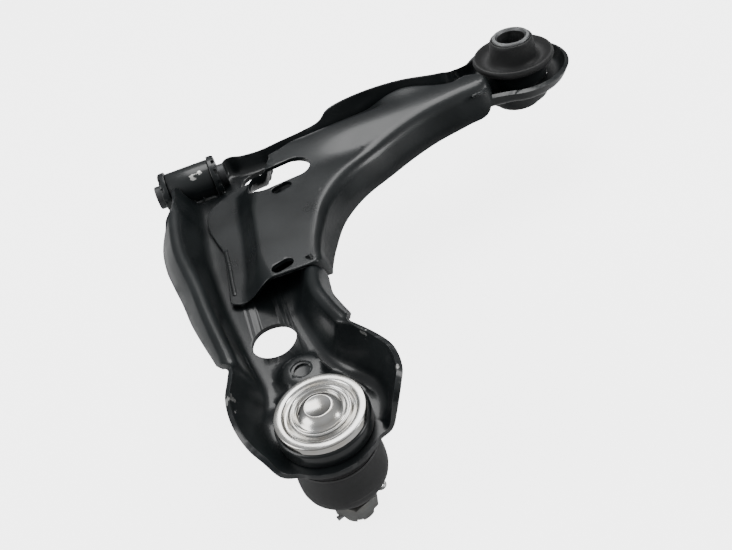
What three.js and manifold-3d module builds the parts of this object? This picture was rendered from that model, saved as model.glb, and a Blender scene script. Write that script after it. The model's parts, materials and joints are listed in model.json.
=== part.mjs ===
// Lower control arm of a car's front suspension, as an assembly of separate pieces.
// Millimetres, +Z up. While it is built, the front bush's centre line is X and its middle is X 0,
// Y grows towards the car's centre line, and Z 0 is the rim of the ball joint's cap.
// At the end the whole arm is moved so that the origin is under its middle, on the ground.
import * as THREE from 'three';
import { mergeVertices } from 'three/addons/utils/BufferGeometryUtils.js';
import Module from 'manifold-3d';

const wasm = await Module();
wasm.setup();

// Driving dimensions.
const sheet = 3;                                   // thickness of both pressings
const gap = 0.35;                                  // clearance kept between touching pieces
const floorTop = -17.5;                            // inside face of the lower pressing's floor
const floorUnder = floorTop - sheet;
const padTop = -13;                                // raised pad round the ball joint
const rimTop = 6;                                  // highest edge of the lower pressing's walls
const wallLean = 8;                                // how far the walls lean outwards up to the rim

const ballJoint = { x: 33.3, y: -246.1 };          // axis of the ball joint
const ballCentreZ = -21;
const ballR = 13;
const housingR = 19.4;                             // where the housing passes through the pad
const collarR = 23.5;
const capR = 22.5;

const noseR = 27;                                  // round edge of the pad at the open nose

const frontBush = { z: -12, shellR: 14, shellHalf: 15, sleeveR: 8, boreR: 6.1, sleeveHalf: 25 };
const frontShellInner = frontBush.shellR - 2.2;
const rearBush = { x: 241.8, y: 0, shellR: 22, sleeveR: 13.4, boreR: 9.6, top: 13.6, bottom: -38 };
const eyeR = 40;                                   // outside of the eye that holds the rear bush
const eyeRimTop = -9;
const rearShellInner = rearBush.shellR - 1.8;

const coverTop = 1.5;                              // flat top of the upper pressing
const coverLean = 2;                               // how far its side wall leans in towards the top
const hemDrop = 15;                                // depth of the folded hems
const hemFlare = 13;                               // how far their lower edges stand out

const nut = { acrossFlats: 22, low: -80, high: -66, turn: 0.35, slotWidth: 3.4 };   // M14
const endRingR = 15.6;                             // toothed rings at the front bush's ends
const cotter = { z: -77.6, r: 1.4, length: 27, headX: 15.2 };
const threadR = 6.9;
const neckR = 6.3;                                 // thinnest part of the stud, under the ball
const roundSides = 32;

// Closed meshes to solids and back.
function solid(geometry) {
  const bare = geometry.clone();
  bare.deleteAttribute('normal');
  bare.deleteAttribute('uv');
  const merged = mergeVertices(bare, 1e-4);
  const mesh = new wasm.Mesh({
    numProp: 3,
    vertProperties: new Float32Array(merged.attributes.position.array),
    triVerts: new Uint32Array(merged.index.array),
  });
  return new wasm.Manifold(mesh);
}

function geometryOf(manifold) {
  const mesh = manifold.getMesh();
  const geometry = new THREE.BufferGeometry();
  geometry.setAttribute('position', new THREE.BufferAttribute(mesh.vertProperties, 3));
  geometry.setIndex(new THREE.BufferAttribute(mesh.triVerts, 1));
  geometry.computeVertexNormals();
  return geometry;
}

const joined = (...parts) => parts.reduce((whole, part) => whole.add(part));
const cut = (body, ...tools) => tools.reduce((left, tool) => left.subtract(tool), body);

// Round solid from [radius, height] points, turned about a vertical line through (x, y).
function turned(profile, x = 0, y = 0, sides = roundSides) {
  const points = profile.map(([r, z]) => new THREE.Vector2(r, z));
  if (THREE.ShapeUtils.area(points) < 0) points.reverse();
  points.push(points[0].clone());
  const geometry = new THREE.LatheGeometry(points, sides);
  geometry.rotateX(Math.PI / 2);
  geometry.translate(x, y, 0);
  return solid(geometry);
}

// Plain ring or disc about a vertical axis.
function ring(outerR, innerR, low, high, x = 0, y = 0, sides = roundSides) {
  return turned([[innerR, low], [outerR, low], [outerR, high], [innerR, high]], x, y, sides);
}

// The same, laid along X and centred on the front bush's axis.
function along(profile, sides = roundSides) {
  const points = profile.map(([r, x]) => new THREE.Vector2(r, x));
  points.push(points[0].clone());
  const geometry = new THREE.LatheGeometry(points, sides);
  geometry.rotateZ(-Math.PI / 2);
  geometry.translate(0, 0, frontBush.z);
  return solid(geometry);
}

function box(x0, x1, y0, y1, z0, z1) {
  const geometry = new THREE.BoxGeometry(x1 - x0, y1 - y0, z1 - z0);
  geometry.translate((x0 + x1) / 2, (y0 + y1) / 2, (z0 + z1) / 2);
  return solid(geometry);
}

// Upright prism of a shape, from one height to another.
function prism(shape, low, high) {
  const settings = { depth: high - low, bevelEnabled: false };
  const geometry = new THREE.ExtrudeGeometry(steps(shape, 8), settings);
  geometry.translate(0, 0, low);
  return solid(geometry);
}

// Prism whose lower and upper edges are drawn in from the outline by their own amounts,
// so that its walls lean. An inset below nothing stands outside the outline.
function leaning(outline, low, high, lowInset, highInset) {
  const shape = steps(outline, 3);
  const rim = shape.getPoints();
  const geometry = new THREE.ExtrudeGeometry(shape, { depth: high - low, bevelEnabled: false });
  geometry.translate(0, 0, low);
  geometry.deleteAttribute('normal');
  geometry.deleteAttribute('uv');
  const merged = mergeVertices(geometry, 1e-4);
  const place = merged.attributes.position;
  const turn = THREE.ShapeUtils.area(rim) > 0 ? 1 : -1;
  for (let i = 0; i < place.count; i += 1) {
    const at = new THREE.Vector2(place.getX(i), place.getY(i));
    const k = rim.reduce((best, p, j) => (p.distanceTo(at) < rim[best].distanceTo(at) ? j : best), 0);
    const chord = rim[(k + 1) % rim.length].clone().sub(rim[(k + rim.length - 1) % rim.length]);
    const inward = new THREE.Vector2(-chord.y, chord.x).normalize().multiplyScalar(turn);
    const inset = place.getZ(i) < (low + high) / 2 ? lowInset : highInset;
    place.setXY(i, at.x + inward.x * inset, at.y + inward.y * inset);
  }
  const mesh = new wasm.Mesh({
    numProp: 3,
    vertProperties: new Float32Array(place.array),
    triVerts: new Uint32Array(merged.index.array),
  });
  return new wasm.Manifold(mesh);
}

// Outline as straight steps, without doubled points, so that its prism is closed.
function steps(shape, perCurve) {
  const points = shape.getPoints(perCurve);
  const apart = points.filter((p, i) => p.distanceTo(points[(i + 1) % points.length]) > 0.4);
  return new THREE.Shape(apart);
}

const vectors = (points) => points.map(([x, y]) => new THREE.Vector2(x, y));

function shapeFrom(start, ...runs) {
  const shape = new THREE.Shape();
  shape.moveTo(...start);
  runs.forEach((run) => {
    if (run.length === 1) shape.lineTo(...run[0]);
    else shape.splineThru(vectors(run));
  });
  return shape;
}

// Lower pressing: one deep tray from the ball joint to both bushes.
function trayOutline() {
  const shape = shapeFrom(
    [-9, 10],
    [[-14, -20], [-19, -60], [-19, -92], [-13, -130], [-8, -170], [-4, -198], [-5, -214],
      [-8, -228], [-3, -250], [10, -272], [34, -286], [58, -281], [72, -264], [76, -246],
      [75, -230], [68, -214], [60, -200], [53, -184], [50, -166], [54, -144], [62, -122],
      [84, -87], [112, -64], [148, -45], [182, -36], [214, -33]],
  );
  arcRun(shape, rearBush, eyeR, -2.26, 2.5, 5);
  shape.splineThru(vectors([[192, 6], [164, 13], [130, 15], [100, 9], [76, 9], [52, 4], [24, 13]]));
  return shape;
}

// Arc in several pieces, so that it gets enough steps.
function arcRun(shape, centre, radius, from, to, pieces) {
  const step = (to - from) / pieces;
  for (let i = 0; i < pieces; i += 1) {
    shape.absarc(centre.x, centre.y, radius, from + i * step, from + (i + 1) * step, false);
  }
}

function sector(fromAngle, toAngle, outerR) {
  const shape = new THREE.Shape();
  shape.moveTo(ballJoint.x, ballJoint.y);
  const [x, y] = [ballJoint.x, ballJoint.y];
  shape.lineTo(x + outerR * Math.cos(fromAngle), y + outerR * Math.sin(fromAngle));
  arcRun(shape, ballJoint, outerR, fromAngle, toAngle, 2);
  return shape;
}

function slotShape(x, y, length, width, angle) {
  const shape = new THREE.Shape();
  const half = (length - width) / 2;
  const ends = [angle, angle + Math.PI];
  ends.forEach((a) => {
    const cx = x + half * Math.cos(a);
    const cy = y + half * Math.sin(a);
    shape.absarc(cx, cy, width / 2, a - Math.PI / 2, a + Math.PI / 2, false);
  });
  return shape;
}

function lowerPressing() {
  const outline = trayOutline();
  const outer = leaning(outline, floorUnder, rimTop, wallLean, 0);
  const inner = leaning(outline, floorTop, rimTop + 1, wallLean + sheet, sheet);
  const padEdge = 31;
  const slopeFoot = 37;
  const pad = turned([
    [housingR + gap, padTop - sheet], [padEdge, padTop - sheet], [slopeFoot, floorUnder],
    [slopeFoot, floorTop], [padEdge, padTop], [housingR + gap, padTop],
  ], ballJoint.x, ballJoint.y);
  let tray = cut(outer, inner, ring(slopeFoot - 1, 0.01, -60, padTop, ballJoint.x, ballJoint.y));
  tray = joined(tray, pad);

  // The nose is open: the walls stop at both sides of the cap and only the round pad edge goes round.
  const open = prism(sector(-2.53, -0.42, 80), -60, 60);
  tray = cut(tray, cut(open, ring(noseR, 0.01, -61, 61, ballJoint.x, ballJoint.y)));

  // Wall heights: low along the front bush's side, full behind it, low round the rear eye.
  tray = cut(
    tray,
    box(-8, 95, -22, 40, -4, 40),
    box(204, 300, -60, 60, eyeRimTop, 40),
    box(-30, -8, -6, 30, -60, 60),
    ring(rearBush.shellR + gap, 0.01, -60, 60, rearBush.x, rearBush.y),
  );

  // Lightening and drain holes in the floor.
  tray = cut(
    tray,
    prism(slotShape(21.5, -171.5, 27, 26, 0), -60, floorTop + 1),
    prism(slotShape(57, -22, 46, 22, 0.1), -60, floorTop + 1),
  );

  const walls = joined(tray, skirt(frontSkirt()), skirt(nearSkirt()));
  const underCover = prism(coverOutline(), coverTop - sheet - gap, 40);
  return largest(cut(walls, frontBushSpace(), underCover));
}

// The hems: a strip of each side wall's top edge is folded outwards and down.
function frontSkirt() {
  return shapeFrom([-10, -60], [[-18, -62]], [[-19, -92], [-13, -130], [-8, -170], [-4, -196]],
    [[2, -192]], [[-2, -168], [-7, -130], [-12, -92], [-10, -60]]);
}

function nearSkirt() {
  return shapeFrom([52, -170], [[47, -172]], [[52, -188], [60, -204], [64, -211]], [[69, -209]],
    [[61, -196], [54, -180], [52, -170]]);
}

function skirt(strip) {
  const top = rimTop - 0.6;
  const outer = leaning(strip, top - hemDrop, top, -hemFlare, 0);
  const hollow = leaning(strip, top - hemDrop - 1, top - sheet, sheet - hemFlare, sheet - 1);
  const trayBody = leaning(trayOutline(), floorUnder - 1, top + 1, wallLean + sheet, sheet);
  return largest(cut(outer, hollow, trayBody));
}

function frontBushSpace() {
  const r = frontBush.shellR + gap;
  const wide = endRingR + 0.8;
  const from = frontBush.shellHalf - 0.6;
  const room = along([[0.01, from], [wide, from], [wide, 40], [0.01, 40]]);
  const otherRoom = along([[0.01, -40], [wide, -40], [wide, -from], [0.01, -from]]);
  return joined(along([[0.01, -40], [r, -40], [r, 40], [0.01, 40]]), room, otherRoom);
}

// Only the biggest of the bodies that a cut leaves.
function largest(body) {
  return body.decompose().reduce((best, piece) => (piece.volume() > best.volume() ? piece : best));
}

// Upper pressing: a cover over the middle and rear of the tray, with a side wall outside the
// tray's own wall, and a low flange at the front that lies on the tray's floor.
function coverOutline(beyondEnds = 0) {
  return shapeFrom([24, -139 - beyondEnds], [[63 - beyondEnds / 3, -141 - beyondEnds]],
    [[69, -123], [90, -90], [116, -69], [151, -50], [184, -41.5], [211 + beyondEnds, -40.5]],
    [[203 + beyondEnds, -8]],
    [[186, -4], [158, 6], [124, 4], [98, -1], [76, -4], [52, -14], [34, -30], [22, -62],
      [20, -100], [24, -139 - beyondEnds]]);
}

function flangeOutline() {
  return shapeFrom([5, -131], [[12, -141]], [[24, -142.4], [28.6, -136.3]], [[29.3, -60.4]],
    [[20, -52], [9, -80], [4, -110], [5, -131]]);
}

function upperPressing() {
  const outline = coverOutline();
  const low = floorTop + gap;
  const outer = leaning(outline, low, coverTop, 0, coverLean);
  const inner = leaning(coverOutline(9), low - 1, coverTop - sheet, sheet, coverLean + sheet);
  const flange = prism(flangeOutline(), low, low + sheet);
  let cover = joined(cut(outer, inner), flange);
  const clear = gap + 0.1;
  const trayWalls = leaning(trayOutline(), floorUnder - 2, rimTop + 2, wallLean - clear, -clear);
  const trayInside = leaning(trayOutline(), floorTop, rimTop + 2,
    wallLean + sheet + clear, sheet + clear);
  const farWall = cut(trayWalls, trayInside).intersect(box(-40, 300, -20, 80, -60, 60));
  cover = cut(
    cover,
    farWall,
    prism(slotShape(57, -41, 44, 19, 0.12), -60, 20),
    prism(slotShape(56, -59, 14, 8, 0.25), -60, 20),
    prism(slotShape(40, -134, 15, 8, 0.25), -60, 20),
    ring(rearBush.shellR + 6.7, 0.01, -60, 60, rearBush.x, rearBush.y),
  );
  return largest(cover);
}

// Front bush: its axis is the arm's hinge line.
const tube = (r0, r1, half) => along([[r0, -half], [r1, -half], [r1, half], [r0, half]]);

function toothedRing(side) {
  const inner = frontBush.sleeveR + gap;
  const outer = endRingR;
  const from = side * (frontBush.shellHalf + gap);
  const to = side * (frontBush.shellHalf + 5);
  const [low, high] = [Math.min(from, to), Math.max(from, to)];
  const body = along([[inner, low], [outer, low], [outer, high], [inner, high]]);
  const count = 12;
  const notches = Array.from({ length: count }, (_, i) => {
    const notch = new THREE.BoxGeometry(4, 3.2, 4.4);
    notch.translate(side * (frontBush.shellHalf + 5), 0, outer);
    notch.rotateX((i + 0.5) * 2 * Math.PI / count);
    notch.translate(0, 0, frontBush.z);
    return solid(notch);
  });
  return cut(body, ...notches);
}

// Rear bush: its axis is upright, and it is pressed into the arm's eye.
const rear = (profile) => turned(profile, rearBush.x, rearBush.y);
const joint = (profile) => turned(profile, ballJoint.x, ballJoint.y);

function arc(radius, fromDegrees, toDegrees, count, centreZ = ballCentreZ) {
  return Array.from({ length: count + 1 }, (_, i) => {
    const a = THREE.MathUtils.degToRad(fromDegrees + (toDegrees - fromDegrees) * i / count);
    return [radius * Math.cos(a), centreZ + radius * Math.sin(a)];
  });
}

function castleNut() {
  const { low, high } = nut;
  const top = high - 0.5;                          // the hexagon, under a low washer face
  const hexR = nut.acrossFlats / Math.sqrt(3);
  const bore = threadR + gap;
  const hex = new THREE.CylinderGeometry(hexR, hexR, top - low, 6);
  hex.rotateX(Math.PI / 2);
  hex.rotateZ(nut.turn);
  hex.translate(ballJoint.x, ballJoint.y, (low + top) / 2);
  const chamfered = solid(hex).intersect(joint([
    [bore, low - 1], [9.4, low - 1], [10.8, low + 4.5], [12.8, low + 6], [12.8, top - 0.8],
    [10.9, top + 0.3], [8.9, top + 0.3], [bore, top - 1.2],
  ]));
  const washerFace = ring(10.4, 8.6, top - 0.6, high, ballJoint.x, ballJoint.y);
  const slots = [0, 1, 2].map((i) => {
    const slot = new THREE.BoxGeometry(30, nut.slotWidth, 5);
    slot.rotateZ(nut.turn + i * Math.PI / 3);
    slot.translate(ballJoint.x, ballJoint.y, low + 2.4);
    return solid(slot);
  });
  return cut(joined(chamfered, washerFace), ...slots);
}

function cotterPin() {
  const pin = new THREE.CylinderGeometry(cotter.r, cotter.r, cotter.length, 16);
  pin.rotateZ(Math.PI / 2);
  const head = new THREE.TorusGeometry(2.4, 0.9, 10, 20);
  head.rotateX(Math.PI / 2);
  head.translate(cotter.headX, 0, 0);
  const whole = joined(solid(pin), solid(head));
  return whole.rotate([0, 0, THREE.MathUtils.radToDeg(nut.turn)])
    .translate([ballJoint.x, ballJoint.y, cotter.z]);
}

function ballStud() {
  const pinHole = new THREE.CylinderGeometry(cotter.r + gap, cotter.r + gap, 30, 16);
  pinHole.rotateZ(Math.PI / 2);
  pinHole.rotateZ(nut.turn);
  pinHole.translate(ballJoint.x, ballJoint.y, cotter.z);
  const stud = joint([
    [0.01, ballCentreZ + 11], ...arc(ballR, 57.8, -61, 14), [neckR, -34], [neckR, -41], [9, -46],
    [9, -50], [7.1, -64.5], [threadR, -64.8], [threadR, -83], [threadR - 1, -84], [0.01, -84],
  ]);
  return cut(stud, solid(pinHole));
}

const rearSleeveGap = rearBush.sleeveR + gap;

const pieces = {
  lower_pressing: lowerPressing,
  upper_pressing: upperPressing,
  front_bush_tube: () => tube(frontShellInner, frontBush.shellR, frontBush.shellHalf),
  front_bush_rubber: () => tube(frontBush.sleeveR + gap, frontShellInner - gap, 14.4),
  front_bush_front_ring: () => toothedRing(-1),
  front_bush_rear_ring: () => toothedRing(1),
  front_bush_sleeve: () => tube(frontBush.boreR, frontBush.sleeveR, frontBush.sleeveHalf),
  rear_bush_shell: () => rear([
    [rearShellInner, -31], [rearBush.shellR, -31], [rearBush.shellR, -6.4],
    [rearShellInner, -6.4],
  ]),
  rear_bush_rubber: () => rear([
    [rearSleeveGap, -37], [16, -37], [17, -32.5], [rearShellInner - gap, -31],
    [rearShellInner - gap, -6], [24.5, -5.6], [27.6, -4.6], [28.2, -2], [27.2, -0.4], [25.6, -1],
    [22, -3.6], [18.5, -2], [15.6, 4], [14.6, 10.4], [rearSleeveGap, 11],
  ]),
  rear_bush_sleeve: () => rear([
    [rearBush.boreR, rearBush.bottom], [rearBush.sleeveR, rearBush.bottom],
    [rearBush.sleeveR, rearBush.top], [rearBush.boreR, rearBush.top],
  ]),
  ball_joint_housing: () => joint([
    [17, -37], [18.4, -35], [18.4, -30], [18.1, -29.4], [18.1, -27], [housingR, -26],
    [housingR, padTop + gap], [collarR, padTop + gap], [collarR, -4.6], [22.2, -4], [16.9, -4],
    [16.9, -33], [13.4, -33.4], [14.4, -37],
  ]),
  ball_joint_cap: () => joint([
    [0.01, -2.4], [10, -2.4], [11.5, -3.7], [capR, -3.7], [capR, -0.6], [capR - 0.6, 0], [18.4, 0],
    [17.4, -1.6], [15.6, -1.6], [14.8, 0.6], [13.4, 0.6], [12.4, -0.6], [10.6, 1.6], [6.4, 3.2],
    [0.01, 3.2],
  ]),
  preload_washer: () => ring(14, 6, -6.3, -4.9, ballJoint.x, ballJoint.y),
  upper_ball_seat: () => joint([
    [5, -6.7], [16.5, -6.7], [16.5, ballCentreZ + 0.2], ...arc(ballR + gap, 0.9, 66, 8),
  ]),
  lower_ball_seat: () => joint([
    ...arc(ballR + gap, -38, -0.9, 6), [16.5, ballCentreZ - 0.2], [16.5, -32.6], [13.4, -32.6],
    [12.9, -31.2],
  ]),
  ball_stud: ballStud,
  dust_boot: () => joint([
    [19.8, -21.6], [21.6, -21.6], [21.8, -30], [22.6, -38], [23, -44], [21.6, -50], [16, -55.4],
    [11.4, -59], [11.4, -63.8], [9.6, -63.8], [9.6, -57.4], [14.8, -53.6], [19.6, -48.6],
    [20.8, -44], [20.4, -38], [19.8, -31],
  ]),
  boot_upper_ring: () => ring(23.2, 22.1, -25.6, -24, ballJoint.x, ballJoint.y, 36),
  boot_lower_ring: () => ring(12.8, 11.8, -63.4, -61.6, ballJoint.x, ballJoint.y, 36),
  castle_nut: castleNut,
  cotter_pin: cotterPin,
};

const blackCoat = [0x14171a, 0.3, 0.0];
const rubber = [0x1a1a1b, 0.7, 0.0];
const brightZinc = [0xc8c9c8, 0.25, 0.9];
const dullZinc = [0x8d9294, 0.45, 0.8];
const steel = [0xb0b2b3, 0.35, 0.9];
const plastic = [0xd8d5c8, 0.5, 0.0];

const looks = {
  lower_pressing: blackCoat,
  upper_pressing: blackCoat,
  front_bush_tube: blackCoat,
  front_bush_rubber: rubber,
  front_bush_front_ring: blackCoat,
  front_bush_rear_ring: blackCoat,
  front_bush_sleeve: brightZinc,
  rear_bush_shell: blackCoat,
  rear_bush_rubber: rubber,
  rear_bush_sleeve: steel,
  ball_joint_housing: blackCoat,
  ball_joint_cap: brightZinc,
  preload_washer: steel,
  upper_ball_seat: plastic,
  lower_ball_seat: plastic,
  ball_stud: steel,
  dust_boot: rubber,
  boot_upper_ring: steel,
  boot_lower_ring: steel,
  castle_nut: dullZinc,
  cotter_pin: steel,
};

const arm = new THREE.Group();
Object.entries(pieces).forEach(([name, make]) => {
  const [color, roughness, metalness] = looks[name];
  const look = new THREE.MeshStandardMaterial({ color, roughness, metalness });
  const mesh = new THREE.Mesh(geometryOf(make()), look);
  mesh.name = name;
  arm.add(mesh);
});

// The origin is on the ground under the middle of the arm.
const bounds = new THREE.Box3().setFromObject(arm);
const middle = bounds.getCenter(new THREE.Vector3());
arm.position.set(-middle.x, -middle.y, -bounds.min.z);
export default arm;
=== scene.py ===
import json
from math import atan2, cos, exp, hypot, pi, radians, sin

import bpy
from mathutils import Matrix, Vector

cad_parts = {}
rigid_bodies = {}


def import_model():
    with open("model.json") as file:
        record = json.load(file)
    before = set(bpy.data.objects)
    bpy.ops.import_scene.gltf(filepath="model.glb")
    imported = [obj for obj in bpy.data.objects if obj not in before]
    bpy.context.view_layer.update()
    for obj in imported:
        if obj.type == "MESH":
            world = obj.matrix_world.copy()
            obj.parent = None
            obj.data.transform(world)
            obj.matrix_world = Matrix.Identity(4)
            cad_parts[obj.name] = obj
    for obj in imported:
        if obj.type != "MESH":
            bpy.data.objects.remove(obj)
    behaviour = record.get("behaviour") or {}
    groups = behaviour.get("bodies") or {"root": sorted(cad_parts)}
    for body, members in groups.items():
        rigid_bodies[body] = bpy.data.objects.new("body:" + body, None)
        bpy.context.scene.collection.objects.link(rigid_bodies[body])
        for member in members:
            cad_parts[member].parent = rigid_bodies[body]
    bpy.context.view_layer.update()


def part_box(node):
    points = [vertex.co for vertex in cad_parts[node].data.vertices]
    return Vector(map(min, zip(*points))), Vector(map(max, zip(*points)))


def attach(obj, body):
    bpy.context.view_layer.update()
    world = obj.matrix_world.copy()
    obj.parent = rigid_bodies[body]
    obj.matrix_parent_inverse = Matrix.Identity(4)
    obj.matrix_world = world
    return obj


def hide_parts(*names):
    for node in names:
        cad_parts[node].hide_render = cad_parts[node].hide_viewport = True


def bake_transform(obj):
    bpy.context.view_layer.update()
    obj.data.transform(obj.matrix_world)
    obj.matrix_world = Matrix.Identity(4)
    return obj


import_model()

# The camera looks down on the arm from outside the ball joint, along the car's width.
# All places are given in millimetres from the front bush's centre line and the cap's rim.
MM = 0.001
bush_z = -12.0
bush_low, bush_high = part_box("front_bush_tube")
home = (bush_low + bush_high) / 2 - Vector((0, 0, bush_z * MM))


def at(x, y, z):
    return home + Vector((x, y, z)) * MM


bpy.ops.object.camera_add(
    location=at(46.3, -510.9, 292.3),
    rotation=(radians(48.3985), radians(12.9778), radians(-16.9208)),
)
camera = bpy.context.object
camera.data.lens = 41.39
camera.data.sensor_width = 36
camera.data.clip_end = 20
bpy.context.scene.camera = camera


# Lower pressing: a deep tray pressed from 3 mm steel sheet, from the ball joint to both bushes.
# Its walls lean outwards, and parts of their top edges are rolled over and down as a hem.
# It is dipped in black electro-coat, which is rubbed bright in a few places round the ball joint.
joint_x, joint_y = 33.3, -246.1
rear_x, rear_y = 241.8, 0.0
floor_z, pad_z = -17.5, -13.0


def start_clean():
    if bpy.context.mode != "OBJECT":
        bpy.ops.object.mode_set(mode="OBJECT")
    bpy.ops.object.select_all(action="DESELECT")


def named(name):
    piece = bpy.context.object
    piece.name = name
    piece.data.name = name
    return piece


def finish_with(piece, kind, **settings):
    start_clean()
    piece.select_set(True)
    bpy.context.view_layer.objects.active = piece
    modifier = piece.modifiers.new(kind.title(), kind)
    for key, value in settings.items():
        setattr(modifier, key, value)
    bpy.ops.object.modifier_apply(modifier=modifier.name)


def settle(piece, angle=35):
    start_clean()
    piece.select_set(True)
    bpy.context.view_layer.objects.active = piece
    bpy.ops.object.transform_apply(location=True, rotation=True, scale=True)
    bpy.ops.object.shade_smooth_by_angle(angle=radians(angle))


def smoothstep(low, high, value):
    """Rises from 0 at low to 1 at high; it falls where low is the larger."""
    t = min(1.0, max(0.0, (value - low) / (high - low)))
    return t * t * (3 - 2 * t)


def through(points, per_span):
    """Smooth closed line through points of any number of values each."""
    count = len(points)
    line = []
    for i in range(count):
        a, b, c, d = (points[(i + k) % count] for k in (-1, 0, 1, 2))
        for step in range(per_span):
            t = step / per_span
            line.append(tuple(
                0.5 * (2 * q + (r - p) * t + (2 * p - 5 * q + 4 * r - s) * t * t
                       + (3 * q - p - 3 * r + s) * t ** 3)
                for p, q, r, s in zip(a, b, c, d)
            ))
    return line


def cut_away(piece, tool):
    finish_with(piece, "BOOLEAN", operation="DIFFERENCE", object=tool, solver="EXACT")
    bpy.data.objects.remove(tool, do_unlink=True)


def bar(x, y, low, high, radius, length=0.0, turn=0.0, sides=64):
    """Upright round or slot-shaped bar that cuts a hole."""
    start_clean()
    bpy.ops.mesh.primitive_cylinder_add(
        vertices=sides, radius=radius * MM, depth=(high - low) * MM, location=(0, 0, 0))
    tool = bpy.context.object
    half = (length / 2 - radius) * MM if length else 0
    for v in tool.data.vertices:
        if half:
            v.co.x += half if v.co.x > 0 else -half
    tool.rotation_euler[2] = turn
    tool.location = at(x, y, (low + high) / 2)
    bpy.ops.object.transform_apply(location=True, rotation=True, scale=True)
    return tool


def round_joint(degrees, radius, z, lean=1.2):
    """Station of the tray's edge on the low nose round the ball joint."""
    x = joint_x + radius * cos(radians(degrees))
    y = joint_y + radius * sin(radians(degrees))
    return (x, y, x + lean * cos(radians(degrees)), y + lean * sin(radians(degrees)), z, 0, 0)


def round_eye(degrees, foot=31.4, rim=35.2, rim_z=-9.2):
    """Station of the tray's edge on the round eye of the rear bush."""
    c, s = cos(radians(degrees)), sin(radians(degrees))
    return (rear_x + foot * c, rear_y + foot * s, rear_x + rim * c, rear_y + rim * s, rim_z, 0, 0)


# Foot of the wall (x, y), top of the wall (x, y, z), and how far the hem goes out and down.
tray_line = [
    (-1, -14, -9, -12, -2, 0, 0), (0, -28, -10.5, -28, 2, 0, 0), (0, -44, -12, -44, 4, 2, 4),
    (-1, -66, -13.5, -66, 5, 14, 14), (-2, -90, -13.5, -90, 5.5, 15, 15),
    (-1.5, -110, -11, -110, 6, 15, 15), (-0.5, -130, -8, -130, 6, 14.5, 15),
    (1.5, -150, -6, -150, 6, 13, 15), (3.5, -168, -3.8, -168, 6, 11, 14),
    (5.2, -184, -1.5, -184, 6, 9, 13), (7.2, -196, 0, -196, 6, 7, 11), (8.5, -205, 0, -205, 6, 1, 1),
    (8.2, -213, -2, -213, 6, 0, 0), (6.4, -222, -4.6, -222, 6, 0, 0),
    (5.6, -232, -5.2, -232, 5.5, 0, 0), (6, -241, -4, -242, 3.5, 0, 0), (7.4, -249, -1, -251, 0, 0, 0),
    (9.6, -255.5, 3.6, -258, -4.5, 0, 0), (12.4, -260.5, 8, -264.5, -10, 0, 0),
    round_joint(-133, 26.2, -13), round_joint(-119, 25.8, -13), round_joint(-105, 25.8, -13),
    round_joint(-91, 25.8, -13), round_joint(-77, 25.8, -13), round_joint(-63, 25.8, -13),
    round_joint(-49, 25.8, -13), round_joint(-36, 26.4, -13), (58.6, -257.6, 61, -260.6, -11.5, 0, 0),
    (61, -255.4, 65.5, -259, 1, 0, 0), (63.2, -251, 70, -254, 7.6, 0, 0),
    (65.2, -244, 73.6, -245.4, 8.5, 0, 0), (64.8, -234, 74, -233, 8.5, 0, 0),
    (61.5, -225, 70.5, -223, 8, 0, 0), (56, -215, 65, -213, 7.5, 0, 0),
    (50, -205.5, 59.5, -203.5, 7, 2, 3), (46.3, -195, 56, -194, 6.5, 8, 12),
    (44.4, -182, 53.2, -182, 5.5, 9, 13), (42.4, -168, 51, -169, 4.5, 9, 13),
    (41.4, -156, 51, -157, 2, 10, 13), (43, -144, 52.4, -144, -1, 8, 12),
    (47, -127, 54, -127, -3.2, 0, 0), (58, -103, 65, -104, -3.5, 0, 0), (75, -79, 82, -81, -3.5, 0, 0),
    (100, -55, 105, -59, -3.5, 0, 0), (128, -38.5, 131, -43, -3.5, 0, 0),
    (158, -28, 160, -32.5, -4, 0, 0), (186, -23.5, 187, -27, -5, 0, 0),
    (203, -23, 204, -26.5, -8, 0, 0), *(round_eye(angle) for angle in range(-122, 139, 20)),
    (206, 14, 203.5, 19, -7, 0, 0), (196, 0, 195, 5, 1, 0, 0), (182, -0.5, 182, 4.5, 3, 0, 0),
    (162, 6.5, 161.5, 11.5, 3.5, 0, 0), (140, 9.5, 140, 14.5, 3.5, 0, 0),
    (120, 7.8, 120, 12.8, 3.5, 0, 0), (106, 4.3, 106, 9.3, 2.5, 0, 0), (97, 3.2, 97, 7.8, -3, 0, 0),
    (84, 4, 84, 8.8, -6, 0, 0), (68, 1.6, 68, 6, -6, 0, 0), (52, -1, 52, 3.4, -6, 0, 0),
    (38, 0.6, 38, 5, -6, 0, 0), (27, 4, 26.6, 8.5, -6.5, 0, 0), (21, -5, 20.4, -3.6, -14, 0, 0),
    (15, -14.4, 15, -13.4, -17, 0, 0), (5, -14.4, 4.6, -13.4, -17, 0, 0),
]


def tray_floor(x, y):
    """Height of the tray's floor: flat, and raised to the pad round the ball joint."""
    from_joint = ((x - joint_x) ** 2 + (y - joint_y) ** 2) ** 0.5
    from_dimple = ((x - 31) ** 2 + (y + 204) ** 2) ** 0.5
    rise = max(1 - smoothstep(30.5, 39, from_joint), 1 - smoothstep(9, 16, from_dimple))
    return floor_z + (pad_z - floor_z) * rise


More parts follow.
